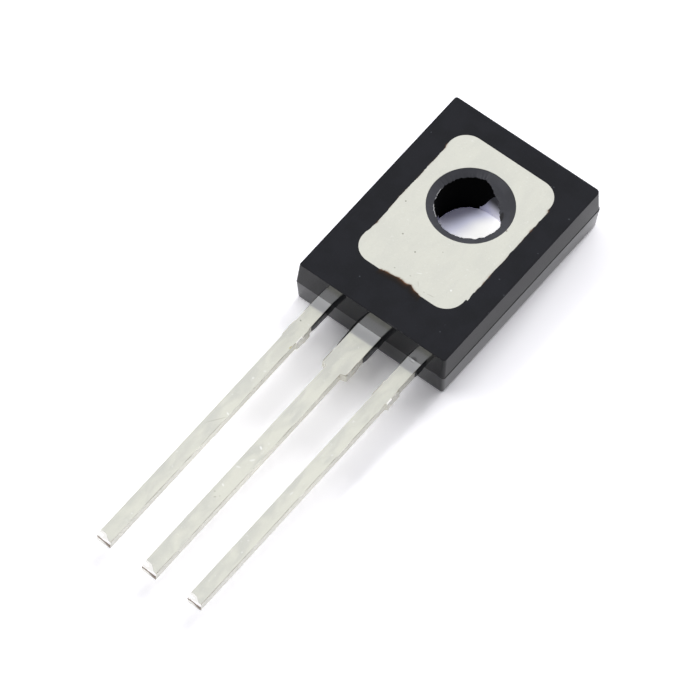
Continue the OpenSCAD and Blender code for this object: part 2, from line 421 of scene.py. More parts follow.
def rounded_box(box, r):
    """Distance from the axis to a rounded rectangle along each spoke: the nearer of the two
    sides that the spoke meets, or the circle of the corner where it meets that first."""
    x0, x1, y0, y1 = box
    x_side = np.where(COS > 0, x1, x0)
    y_side = np.where(SIN > 0, y1, y0)
    far = 1e9
    reach = np.minimum(np.where(np.abs(COS) > 1e-9, x_side / np.where(COS == 0, 1, COS), far),
                       np.where(np.abs(SIN) > 1e-9, y_side / np.where(SIN == 0, 1, SIN), far))
    centre_x = x_side - np.sign(x_side) * r
    centre_y = y_side - np.sign(y_side) * r
    along = COS * centre_x + SIN * centre_y
    inside = along ** 2 - (centre_x ** 2 + centre_y ** 2 - r * r)
    on_arc = along + np.sqrt(np.maximum(inside, 0))
    in_corner = ((np.abs(reach * COS) > np.abs(centre_x))
                 & (np.abs(reach * SIN) > np.abs(centre_y)) & (inside > 0))
    return np.where(in_corner, on_arc, reach)


def shrink(box, inset):
    """A box taken in by the same inset on its four sides."""
    return (box[0] + inset, box[1] - inset, box[2] + inset, box[3] - inset)


def skin(name, loops, keys):
    """A closed skin through loops round the axis; the last loop joins the first. A loop is its
    distance from the axis and its height along the spokes, the material of the band that
    follows it, and one value, or one per spoke, for each of the keys."""
    count = len(SPOKES)

    def stack(place):
        return np.array([np.broadcast_to(loop[place], count) for loop in loops])

    radius, height = stack(0), stack(1)
    points = np.stack([radius * COS, radius * SIN, height], -1).reshape(-1, 3)
    values = {key: stack(3 + at).ravel() for at, key in enumerate(keys)}
    return build_mesh(name, points, grid_quads(len(loops), count, True), values=values,
                      bands=stack(2).ravel())


# ---- Rim of the moulding's window on the exposed pad ------------------------------------------

# Between the rounded corners the flash ends at the plateau's own edge, a little off the
# corners' line, and a tongue of it covers the middle of the end towards the leads.
WINDOW_BOX, WINDOW_R = (-2.56, 2.575, -4.74, 2.8), 0.88
SIDE_X, NEAR_END_Y = 2.2, -4.3                                 # past these the rim is a side's
LEFT_FLASH, RIGHT_GAP = (-3.62, 1.66), (-3.66, 1.74)           # y ranges along the two sides
LEFT_SWELL = (-3.4, -2.3)                                      # y range of wider flash
TONGUE_SPAN = (-1.02, 1.05)
TONGUE_EDGE = ((-1.05, -0.85, -0.4, -0.15, 0.1, 0.3, 0.45, 0.65, 0.9, 1.08),
               (0.0, 0.06, 0.10, 0.16, 0.13, 0.12, 0.21, 0.07, 0.03, 0.0))
BROWN_SPOTS = ((1.70, -1), (-3.14, -1), (1.74, 1), (0.54, 1), (-2.2, 1), (-2.57, 1))  # y, side


def window_rim():
    """Radius of the rim along the spokes, how brown its edge is, and how much of it is tongue.
    Each side of a rounded box is moved in or out by a constant and a sum of waves, divided by
    the cosine or sine with which the spoke crosses it; brown spots are bell curves along Y."""
    base = rounded_box(WINDOW_BOX, WINDOW_R)
    x, y = base * COS, base * SIN
    left = (x < -SIDE_X) * window(y, *LEFT_FLASH, 0.035)
    right = (x > SIDE_X) * window(y, *RIGHT_GAP, 0.06)
    tongue = (y < NEAR_END_Y) * window(x, *TONGUE_SPAN, 0.05)
    left_in = (0.045 + waves(y, (0.010, 0.16, 11), (0.009, 0.5, 12), (0.009, 0.06, 18))
               + 0.035 * window(y, *LEFT_SWELL, 0.5))
    right_out = 0.062 + waves(y, (0.020, 0.36, 13), (0.014, 0.12, 14))
    tongue_in = np.interp(x, *TONGUE_EDGE) + waves(x, (0.016, 0.09, 15), (0.010, 0.04, 16))
    radius = base - left * left_in / np.maximum(-COS, 0.5)
    radius = radius + right * right_out / np.maximum(COS, 0.5)
    radius = radius - tongue * tongue_in / np.maximum(-SIN, 0.5)
    brown = sum(np.exp(-((y - at) / 0.10) ** 2) * (x * side > SIDE_X) for at, side in BROWN_SPOTS)
    brown = brown + 0.18 * (left + right) * (wave(y, 0.3, 17) > 0.1)
    brown = brown + tongue * (0.75 + 0.35 * wave(x, 0.14, 19))
    return radius, np.clip(brown, 0, 1), tongue


RIM, BROWN, TONGUE = window_rim()
PAD_OUTLINE = np.maximum(rounded_box(PAD, PAD_R), RIM + 0.03)
LEDGE_OUTLINE = rounded_box(shrink(PAD, -LEDGE_W), PAD_R + LEDGE_W)

# ---- Moulding --------------------------------------------------------------------------------

FACE, BACK_WALL, FRONT_WALL, LINING, BORE, POLISH_AND_REFLECTION = range(6)         # the moulding's finishes
METAL_LIP = METAL_HOLE_R - 0.004
CORNER_R = np.where(SIN > 0, np.where(COS > 0, 0.20, 0.12), np.where(COS > 0, 0.13, 0.06))
# Profile of the walls at the parting plane: share of the step between the mould's halves,
# inset and rise.
PARTING_PROFILE = ((1, 0.003, 0.06), (1, 0.0, 0.006), (0.9, 0.0, 0.001), (0.75, 0.0, 0.0),
                   (0.3, 0.0, 0.0), (0.1, 0.0, -0.001), (0, 0.0, -0.005), (0, 0.0005, -0.012),
                   (0, 0.004, -0.06))
BURR_SPECKS = ((-136, 12), (-110, 1.5), (-82, 2), (-77, 1))          # middle and half, degrees
# Height up to which the mould's core polished the bore and a painted reflection of the floor lies
# on it, at angles in degrees.
POLISH_AND_REFLECTION_EDGE = ((40, 60, 81, 88.5, 93.5, 100, 106, 112),
               (0.2, 1.5, 1.51, 1.22, 0.94, 0.5, 0.2, 0.13))


def mouth_rim():
    """Ragged inner edge of the lining's mouth: waves, and a web of flash left at one side."""
    web = 0.33 * np.exp(-((SPOKES - math.radians(50)) / math.radians(40)) ** 4)
    return HOLE_R - 0.04 - waves(SPOKES, (0.024, 0.10, 21), (0.016, 0.045, 22)) - web


def bare_burr():
    """How far burr shows along the mouth's edge: a stretch, three specks, and broken runs on
    both sides of the spoke at -X, where a wave is high."""
    burr = sum(window(SPOKES, math.radians(a - w), math.radians(a + w), 0.02)
               for a, w in BURR_SPECKS)
    past_end = 9
    for low, high, seed, level, share in ((math.radians(178), past_end, 27, 0, 0.5),
                                          (-past_end, math.radians(-158), 28, -0.2, 0.7)):
        burr = burr + share * window(SPOKES, low, high, 0.02) * (wave(SPOKES, 0.05, seed) > level)
    return burr


def polish_and_reflection_top():
    """Height of the polish, and of its painted reflection, in the bore: a line through given
    points, with a wave on it.
    """
    top = np.interp(np.degrees(SPOKES), *POLISH_AND_REFLECTION_EDGE)
    return np.maximum(top + 0.03 * wave(SPOKES, 0.08, 26) * (top > 0.3), 0.13)


MOUTH, BURR, POLISH_AND_REFLECTION_TOP = mouth_rim(), bare_burr(), polish_and_reflection_top()
BORE_FOOT = np.where(POLISH_AND_REFLECTION_TOP > 0.16, POLISH_AND_REFLECTION, BORE)
# Nicks along the back edge, and a painted highlight along the parting line, over the leads.
AT_END = -SIN * BODY_HIGH[0] > np.abs(COS) * -END_Y
END_X = COS / np.maximum(-SIN, 0.1) * -END_Y
EDGE_NICKS = 0.05 * AT_END * window(END_X, 0.8, 1.95, 0.1) * (wave(END_X, 0.09, 29) > 0.1)
PARTING_HIGHLIGHT = 0.13 * AT_END * window(END_X, 3.0, 3.45, 0.15)


def loop(radius, height, finish=FACE, brown=0.0, thin=0.0, burr=0.0):
    """One loop of the moulding: its place, the finish of the band after it, how brown it is,
    how thin the flash is, and how far bare burr shows, which along the parting line is a painted
    highlight."""
    return radius, height, finish, brown, thin, burr


def wall_loop(box, inset, height, finish=FACE, burr=0.0):
    """A loop round a box with the moulding's rounded corners, taken in by an inset."""
    return loop(rounded_box(shrink(box, inset), CORNER_R), height, finish, burr=burr)


def window_loops():
    """The window's rim, of thin flash that lies on the metal, and the start of the back face."""
    film_top = BODY_T - FILM + 0.002
    return [loop(PAD_OUTLINE, film_top),
            loop(RIM, film_top, brown=BROWN, thin=TONGUE),
            loop(RIM + 0.008, BODY_T - FILM * 0.35, brown=BROWN, thin=TONGUE),
            loop(RIM + 0.03, BODY_T - FILM * 0.08, brown=BROWN * (0.2 + 0.4 * TONGUE), thin=TONGUE),
            loop(RIM + 0.08, BODY_T, brown=TONGUE * BROWN * 0.12, thin=TONGUE),
            loop(RIM + 0.22, BODY_T, thin=TONGUE * 0.8),
            loop(RIM + 0.36, BODY_T)]


def wall_loops():
    """Back face's edge, drafted walls with the step at the parting plane, and front face's
    edge. An edge is an arc: its inset is the radius times one less the sine of the angle, and
    its height from the face is the radius times one less the cosine."""
    back_box, front_box = shrink(OUTER_BOX, BACK_INSET), shrink(OUTER_BOX, FRONT_INSET)
    r = BACK_EDGE_R
    loops = [wall_loop(back_box, r + 0.02, BODY_T)]
    for angle in np.radians([0, 22, 45, 68]):
        loops.append(wall_loop(back_box, r * (1 - math.sin(angle)),
                               BODY_T - r * (1 - math.cos(angle)),
                               burr=EDGE_NICKS * (angle > 0.3)))
    loops += [wall_loop(back_box, 0, BODY_T - r, BACK_WALL),
              wall_loop(OUTER_BOX, BACK_INSET * 0.95, BODY_T - r - 0.03, BACK_WALL)]
    for share, inset, rise in PARTING_PROFILE:
        x0, x1, y0, y1 = OUTER_BOX
        offset = share * PARTING_STEP
        box = (x0 + 0.1 * offset, x1 - offset, y0 + 0.1 * offset, y1 - offset)
        # On the parting line the burr value carries the painted highlight.
        loops.append(wall_loop(box, inset, PARTING_Z + rise,
                               BACK_WALL if rise > 0 else FRONT_WALL,
                               burr=PARTING_HIGHLIGHT * (abs(rise) < 0.01)))
    r = FRONT_EDGE_R
    loops.append(wall_loop(OUTER_BOX, FRONT_INSET * 0.92, r + 0.03, FRONT_WALL))
    for angle in np.radians([90, 68, 45, 22]):
        loops.append(wall_loop(front_box, r * (1 - math.sin(angle)), r * (1 - math.cos(angle)),
                               FRONT_WALL))
    return loops + [wall_loop(front_box, r, 0), wall_loop(front_box, r + 0.02, 0)]


def bore_loops():
    """Front face to the hole, up its wall to the ragged mouth, and up the lining's slope, which
    is a straight share of the way out to the metal's lip."""
    foot = HOLE_R - 0.04 - waves(SPOKES, (0.02, 0.12, 23), (0.02, 0.3, 24))
    mouth_z = BODY_T - MOUTH_DEPTH
    slope_foot = np.maximum(MOUTH + 0.03, HOLE_R - 0.05)
    loops = [loop(HOLE_R + 0.06, 0), loop(HOLE_R + 0.02, 0, BORE_FOOT),
             loop(foot, 0.012, BORE_FOOT), loop(foot + 0.01, 0.05, BORE_FOOT),
             loop(HOLE_R, 0.12, BORE_FOOT), loop(HOLE_R, POLISH_AND_REFLECTION_TOP, BORE),
             loop(HOLE_R, mouth_z - 0.12, BORE), loop(HOLE_R - 0.006, mouth_z - 0.08, BORE),
             loop(MOUTH, mouth_z - 0.045, BORE),
             loop(MOUTH - 0.006, mouth_z - 0.03, LINING, burr=BURR),
             loop(MOUTH + 0.006, mouth_z - 0.018, LINING, burr=BURR),
             loop(slope_foot, mouth_z - 0.005 + 0.01 * wave(SPOKES, 0.2, 25), LINING)]
    for share in (0.25, 0.5, 0.75, 0.94):
        loops.append(loop(slope_foot + (METAL_LIP - slope_foot) * share,
                          mouth_z + (MOUTH_DEPTH - 0.03) * share, LINING))
    return loops + [loop(METAL_LIP, BODY_T - 0.022)]


def cavity_loops():
    """The cavity that holds the header, back to the window."""
    return [loop(METAL_LIP, BODY_T - 0.05), loop(METAL_LIP, HEADER_BOTTOM),
            loop(LEDGE_OUTLINE, HEADER_BOTTOM), loop(LEDGE_OUTLINE, HEADER_BOTTOM + LEDGE_T),
            loop(PAD_OUTLINE, HEADER_BOTTOM + LEDGE_T)]


def make_moulding():
    """The moulding's skin, through all its loops from the window round to the window."""
    return skin("epoxy_moulding", window_loops() + wall_loops() + bore_loops() + cavity_loops(),
                ("brown", "thin", "burr"))


def make_header_plate():
    """The header plate's skin: up its hole, over the exposed face in even shares of the way
    from the hole to the window's rim, down its sides and round its ledge."""
    top = BODY_T - FILM
    inner = METAL_HOLE_R + 0.05
    ledge_top = HEADER_BOTTOM + LEDGE_T
    loops = [(METAL_HOLE_R, HEADER_BOTTOM, 0.0), (METAL_HOLE_R, top - 0.02, 0.0),
             (METAL_HOLE_R, top - 0.004, 0.0), (METAL_HOLE_R + 0.002, top, 0.0),
             (METAL_HOLE_R + 0.006, top, 0.0)]
    loops += [(inner + (RIM - 0.12 - inner) * share, top, 0.0) for share in np.linspace(0, 1, 12)]
    loops += [(RIM - 0.05, top, 0.2 * BROWN), (RIM - 0.02, top, 0.7 * BROWN), (RIM, top, BROWN),
              (PAD_OUTLINE - 0.002, top, BROWN), (PAD_OUTLINE, top - 0.02, 1.0),
              (PAD_OUTLINE, ledge_top, 1.0), (LEDGE_OUTLINE, ledge_top, 1.0),
              (LEDGE_OUTLINE, HEADER_BOTTOM, 1.0)]
    return skin("header_plate", [(radius, z, 0, brown) for radius, z, brown in loops], ("brown",))


# ---- Leads -------------------------------------------------------------------------------

ARC_STEPS = 5
TOP_STEPS, SIDE_STEPS, BASE_STEPS = 16, 7, 5
EDGE_R = 0.018, 0.02                        # of a lead's upper and lower edges
FINE_Y = -7.2                               # from here to the moulding the stations are close
# Both shares lead to the bare metal colour, which is brightened into a painted highlight.
TEAR_SHINE, BREAK_SHINE = 0.35, 0.3         # brightness of the torn stubs and the broken ends
BREAK_HEIGHT, BREAK_SLANT = 0.29, 0.06      # the ends break out below a line that falls to +X
# Dents in the leads' tops: x, y, turn, length, width and depth.
LEAD_DENTS = {
    "base_lead_formed": [(-2.05, -13.38, 2.4, 0.05, 0.02, 0.012),
                         (-2.46, -8.05, 0.3, 0.025, 0.02, 0.02)],
    "centre_lead_formed": [(-0.02, -13.8, 2.5, 0.05, 0.02, 0.012),
                           (0.48, -8.33, 0.9, 0.04, 0.02, 0.02)],
    "emitter_lead_formed": [(2.54, -10.05, 0.0, 0.02, 0.02, 0.008),
                            (2.24, -6.75, 0.05, 0.13, 0.035, 0.014)],
}
# Marks along the leads' upper edges: side, y range, bright painted highlight or dark line,
# strength.
LEAD_EDGES = {
    "base_lead_formed": [(1, -9.02, -8.62, True, 1.0), (-1, -9.0, -8.3, False, 0.4)],
    "centre_lead_formed": [(-1, -8.27, -8.2, True, 1.0), (-1, -9.0, -8.36, False, 0.9),
                           (1, -8.9, -8.6, True, 0.5)],
    "emitter_lead_formed": [(1, -9.0, -8.68, True, 1.0), (-1, -9.0, -8.35, False, 0.7),
                            (1, -8.2, -8.15, False, 1.0), (1, -9.09, -9.04, False, 1.0)],
}


def section_shape():
    """A unit rounded section as arrays, clockwise from its upper left: the signs across and up
    of the corner circle's middle, and the direction out from it. A corner is a quarter turn of
    cosine and sine, and a side is straight between two corners."""
    across, up, out_x, out_z = [], [], [], []

    def arc(sx, sz, start):
        for a in np.linspace(start, start - math.pi / 2, ARC_STEPS):
            across.append(sx)
            up.append(sz)
            out_x.append(math.cos(a))
            out_z.append(math.sin(a))

    def run(from_xz, to_xz, normal, count):
        for share in np.concatenate([[0.01], np.linspace(0.06, 0.94, count - 2), [0.99]]):
            across.append(from_xz[0] + (to_xz[0] - from_xz[0]) * share)
            up.append(from_xz[1] + (to_xz[1] - from_xz[1]) * share)
            out_x.append(normal[0])
            out_z.append(normal[1])

    arc(-1, 1, math.pi)
    run((-1, 1), (1, 1), (0, 1), TOP_STEPS)
    arc(1, 1, math.pi / 2)
    run((1, 1), (1, -1), (1, 0), SIDE_STEPS)
    arc(1, -1, 0)
    run((1, -1), (-1, -1), (0, -1), BASE_STEPS)
    arc(-1, -1, -math.pi / 2)
    run((-1, -1), (-1, 1), (-1, 0), SIDE_STEPS)
    return tuple(np.array(a) for a in (across, up, out_x, out_z))


SECTION = section_shape()


def lead_stations(inner_y):
    """Places along a lead, closest together at its tip, its stubs and the moulding."""
    parts = [np.linspace(TIP_Y, TIP_Y + 0.4, 40), np.arange(TIP_Y + 0.4, inner_y, 0.07),
             np.linspace(STUB[0] - 0.15, STUB[1] + 0.15, 90), np.linspace(FINE_Y, END_Y, 22)]
    return np.unique(np.round(np.concatenate(parts + [np.array([inner_y])]), 5))


def dent_depth(x, y, dents):
    """Depth of the dents at points of a lead's top: bell curves in the dents' turned axes."""
    depth = 0.0
    for dent_x, dent_y, turn, length, width, deepest in dents:
        dx, dy = x - dent_x, y - dent_y
        u = dx * math.cos(turn) + dy * math.sin(turn)
        v = -dx * math.sin(turn) + dy * math.cos(turn)
        depth = depth + deepest * np.exp(-(u / length) ** 2 - (v / width) ** 2)
    return depth


def edge_shades(name, y, past, in_stub, seed):
    """How bright a lead's points are, as bare metal with a painted highlight past the tip's cut
    line,
    in patches on a torn stub and at the marks' bright spots, and how dark its upper edges are:
    waves along Y, and the windows of the marks."""
    across, up, out_x, _ = SECTION
    right_side = (across > 0.99) & (up > -0.5)
    torn = in_stub * right_side * step(wave(y + across, 0.16, seed + 5), -0.3, 0.3)
    bright = np.maximum(np.where(up > -0.99, step(past, 0.0, 0.02), 0.0), TEAR_SHINE * torn)
    dark = (((across > 0.99) & (up > 0.99) & (out_x > 0.3)) * (past < 0.01)
            * step(wave(y, 0.5, seed + 6), -0.9, 0.6))
    for side, y0, y1, painted_highlight, strength in LEAD_EDGES[name]:
        mark = strength * window(y, y0, y1, 0.03) * ((across * side > 0.99) & (up > 0.99))
        if painted_highlight:
            bright = np.maximum(bright, mark)
            dark = dark * (1 - mark)
        else:
            dark = np.maximum(dark, mark)
    return bright, dark


def sweep_lead(name, middle_x, y, left, right, rise, in_stub, flare, stub_r, roll, seed):
    """A lead: at each y a rounded section from middle_x - left to middle_x + right, raised by
    rise; in a stub its sides stand out by flare at the bottom and stub_r is added to the upper
    edges' radius. At the tip the top follows a circle's arc down, past a cut line that is roll
    from the tip at the left and runs out towards the right."""
    across, up, out_x, out_z = SECTION
    y, left, right, rise, in_stub = (
        np.broadcast_to(v, y.shape)[:, None] for v in (y, left, right, rise, in_stub))
    r = np.where(up > 0, EDGE_R[0] + stub_r * in_stub, EDGE_R[1])
    x = middle_x + (right - left) / 2 + across * ((left + right) / 2 - r) + out_x * r
    z = LEAD_MIDDLE + rise + up * ((LEAD_TOP - LEAD_BOTTOM) / 2 - r) + out_z * r
    x = x + np.sign(across) * flare * in_stub * (1 - up) / 2 * (np.abs(across) > 0.99)
    share = np.clip((x - middle_x + OUTER_W / 2) / OUTER_W, 0, 1)
    cut_line = (TIP_Y + 0.02 + roll * (1 - step(share, 0.3, 0.97))
                + 0.012 * wave(x * 1.3, 0.11, seed))
    past = np.maximum(cut_line - y, 0)
    rolled = LEAD_TOP - TIP_R + np.sqrt(TIP_R ** 2 - np.minimum(past, TIP_R * 0.999) ** 2)
    z = np.minimum(z, rolled + rise)
    z = z - dent_depth(x, y, LEAD_DENTS[name]) * (up > 0.99)
    bright, dark = edge_shades(name, y, past, in_stub, seed)
    body = np.stack([x, np.broadcast_to(y, x.shape), z], -1)
    # The sheared end is filled by rings that shrink to a point, and its foot curls in.
    shrinkage = np.concatenate([[0.04], np.linspace(0.14, 0.97, 12)])[::-1, None, None]
    centre = np.array([middle_x, TIP_Y, LEAD_MIDDLE - 0.03])
    rings = body[0] + (centre - body[0]) * shrinkage
    rings[..., 1] = TIP_Y + 0.012 * np.exp(-((rings[..., 2] - LEAD_BOTTOM) / 0.05) ** 2)
    body[0, :, 1] += 0.006
    points = np.concatenate([rings, body])
    bright = np.concatenate([np.ones(rings.shape[:2]), bright])
    dark = np.concatenate([np.zeros(rings.shape[:2]), dark])
    side = np.broadcast_to(across, points.shape[:2])
    # The end breaks out below a brown line: each point's height above it, and how bare it is.
    above = (points[..., 2] - LEAD_BOTTOM - BREAK_HEIGHT
             + BREAK_SLANT * ((points[..., 0] - middle_x) / OUTER_W + 0.5)
             + 0.012 * wave(points[..., 0], 0.12, seed))
    at_end = points[..., 1] < TIP_Y + 0.015
    broken = at_end & (above < 0)
    bright = np.where(broken, BREAK_SHINE, bright)
    above = np.where(broken & (side > 0.99), 0.3 * above, above)
    above = np.where(at_end, above, np.where(above < 0, -1, 1))
    side = np.where(at_end, 1.0 * broken, side)
    # Each value's last two numbers are for the middles of the sheared and the inner end.
    values = {key: np.append(value.ravel(), ends) for key, value, ends in (
        ("cut", bright, [1, 0]), ("break", above, [-0.03, 1]), ("rim", dark, [0, 0]),
        ("side", side, [0, 0]))}
    return capped_tube(name, points, np.stack([centre, body[-1].mean(0)]), values)


def outer_lead(name, side):
    """An outer lead: its half widths grow by a window of y at the stubs, with waves where they
    are torn, and by a step to the bond post inside the moulding."""
    y = lead_stations(POST_END)
    in_stub = window(y, STUB[0] + 0.02, STUB[1] - 0.02, 0.03)
    post = step(y, POST_END - POST_L - 0.01, POST_END - POST_L + 0.01)
    post_in = POST_W - POST_OUT
    right_post, left_post = (POST_OUT, post_in) if side > 0 else (post_in, POST_OUT)
    torn_l = 0.012 * wave(y, 0.15, 40 + side)
    torn_r = waves(y, (0.016, 0.14, 45 + side), (0.006, 0.06, 48 + side))
    left = OUTER_W / 2 + in_stub * (0.045 + torn_l) + post * (left_post - OUTER_W / 2)
    right = OUTER_W / 2 + in_stub * (0.05 + torn_r) + post * (right_post - OUTER_W / 2)
    return sweep_lead(name, side * PITCH, y, left, right, 0.0, in_stub, flare=0.04, stub_r=0.03,
                      roll=0.225, seed=33 + side)


def centre_lead(name):
    """The centre lead: its half widths take a smooth step to the wide neck at the stubs, with
    waves where they are torn, and it rises to the header by one smooth step."""
    y = lead_stations(BEND[1] + LEDGE_W)
    wide_l = step(y, STUB[0] - 0.04, STUB[0] + 0.03)
    wide_r = step(y, STUB[0] - 0.03, STUB[0] + 0.07)
    in_stub = window(y, STUB[0] + 0.03, STUB[1] - 0.02, 0.03)
    neck = (NECK_W - CENTRE_W) / 2 - 0.02
    left = CENTRE_W / 2 + neck * wide_l + in_stub * (0.03 + 0.006 * wave(y, 0.15, 51))
    right = CENTRE_W / 2 + neck * wide_r + in_stub * (0.012 + 0.010 * wave(y, 0.2, 52))
    rise = (HEADER_BOTTOM - LEAD_BOTTOM) * step(y, *BEND)
    return sweep_lead(name, 0.0, y, left, right, rise, in_stub, flare=0.03, stub_r=0.025,
                      roll=0.27, seed=36)


moulding = make_moulding()
header_plate = make_header_plate()
base_lead = outer_lead("base_lead_formed", -1)
emitter_lead = outer_lead("emitter_lead_formed", 1)
collector_lead = centre_lead("centre_lead_formed")

# ---- Flash along the leads' sides ---------------------------------------------------------

FLASH_STATIONS, FLASH_AROUND = 48, 24
FLASH_ROOT = 0.1                            # length inside the moulding
SQUARENESS = 0.3
# Name, x of the lead's side, direction out of it, length, and thickness at both ends.
FLASHES = [
    ("base_flash_left", -PITCH - OUTER_W / 2, -1, 1.1, 0.02, 0.01),
    ("base_flash_right", -PITCH + OUTER_W / 2, 1, 1.33, 0.06, 0.04),
    ("centre_flash_left", -NECK_W / 2, -1, 1.40, 0.09, 0.025),
    ("centre_flash_right", NECK_W / 2, 1, 1.20, 0.05, 0.035),
    ("emitter_flash_left", PITCH - OUTER_W / 2, -1, 0.5, 0.06, 0.02),
    ("emitter_flash_right", PITCH + OUTER_W / 2, 1, 0.42, 0.05, 0.02),
]


def lead_flash(name, x_wall, side, length, thick_start, thick_end):
    """Thin strip of flash on a lead's side wall, from inside the moulding to a rounded end. Its
    section is a squared oval: each side is the cosine and sine of an angle to a small power."""
    t = np.linspace(0, 1, FLASH_STATIONS)
    y = END_Y + FLASH_ROOT - (length + FLASH_ROOT) * t
    rounded_end = np.sqrt(np.clip(1 - t ** 16, 0, 1))
    thick = (thick_start + (thick_end - thick_start) * t) * rounded_end
    thick = thick * (1 + 0.15 * wave(y, 0.15, 60 + int(10 * abs(x_wall))))
    tall = (LEAD_TOP - LEAD_BOTTOM) / 2 * (0.97 - 0.3 * t ** 12)
    angle = np.linspace(0, 2 * math.pi, FLASH_AROUND, endpoint=False)
    out, up = (np.sign(v) * np.abs(v) ** SQUARENESS for v in (np.cos(angle), np.sin(angle)))
    x = x_wall + side * np.where(out > 0, thick[:, None] * out, 0.1 * out)
    z = LEAD_MIDDLE + tall[:, None] * up
    points = np.stack([x, np.broadcast_to(y[:, None], x.shape), z], -1)
    if side < 0:
        points = points[:, ::-1]
    return capped_tube(name, points, np.stack([points[0].mean(0), points[-1].mean(0)]))


flashes = [lead_flash(*row) for row in FLASHES]

# ---- Materials ---------------------------------------------------------------------------


def srgb(r, g, b):
    """Linear colour, with alpha, from 0..255 sRGB levels."""
    return tuple(((c / 255 + 0.055) / 1.055) ** 2.4 if c > 10 else c / 255 / 12.92
                 for c in (r, g, b)) + (1.0,)


THIN_FLASH, BROWN_FLASH = (0.0075, 0.0055, 0.0045, 1), srgb(102, 70, 46)
FACE_GRAIN, FACE_SPECK = (0.020, 0.021, 0.026, 1), (0.045, 0.050, 0.058, 1)
# Pale burr, and the painted highlight on the parting line, share this colour.
PALE_BURR_AND_HIGHLIGHT = (0.62, 0.62, 0.63, 1)
SLIT, SLIT_BLACK = ((1.25, 0.45), (0.26, 0.075), -1.08), (0.002, 0.002, 0.003, 1)


def epoxy_material(name, light, dark, rough, specular, grain_mm, stained=False, slit=False):
    """Black moulding compound between two shades, with a fine grain of a given depth and pale
    burr, which along the parting line is a painted highlight. Where it is stained it is brown
    where the flash is thin, with a pale grain and specks, and it may have a dark slit."""
    n = Nodes(bpy.data.materials.new(name))
    base = n.mix(n.ramp(n.noise(0.9), 0.35, 0.65), dark, light)
    if stained:
        base = n.mix(n.value("thin"), base, THIN_FLASH)
        base = n.mix(n.value("brown"), base, BROWN_FLASH)
        grain = n.ramp(n.noise(0.06, 2.0, rough=0.7), 0.55, 0.75, 0.0, 0.5)
        base = n.mix(grain, base, FACE_GRAIN)
        base = n.mix(n.specks(0.5, 0.045, 0.42), base, FACE_SPECK)
    base = n.mix(n.value("burr"), base, PALE_BURR_AND_HIGHLIGHT)
    if slit:
        base = n.mix(n.spot(*SLIT), base, SLIT_BLACK)
    return n.finish(Base_Color=base, Roughness=rough, Specular_IOR_Level=specular,
                    Normal=n.bump(n.noise(0.045, 2.0), grain_mm))


TIN_WARM, TIN_DULL = (0.755, 0.755, 0.675, 1), (0.645, 0.650, 0.600, 1)
TIN_SPECK, TIN_PALE = (0.36, 0.35, 0.31, 1), (0.86, 0.86, 0.82, 1)
GRAIN_DARK, GRAIN_LIGHT = (0.52, 0.52, 0.50, 1), (0.88, 0.88, 0.83, 1)
# Painted reflection of the moulding's wall on the leads' tops beside it: its pale bluish colour,
# and the y range over which it fades in.
NEAR_BODY_REFLECTION, NEAR_BODY_Y = (0.97, 0.98, 1.0, 1), (-7.30, -7.14)
# Painted light on the leads' sides: their colour towards the tips, the lighter one towards the
# moulding, and the y range over which one turns into the other.
FLANK_AT_TIP, FLANK_AT_BODY = (0.74, 0.735, 0.665, 1), (0.84, 0.83, 0.74, 1)
FLANK_Y = (-19.0, -14.0)
# Bare metal of the sheared and torn faces, brightened into a painted highlight, and the colour of
# the dark upper edges.
BARE_METAL_HIGHLIGHT, DARK_EDGE_TONE = (0.93, 0.92, 0.90, 1), (0.35, 0.33, 0.27, 1)
BROWN_COPPER = srgb(128, 110, 94)


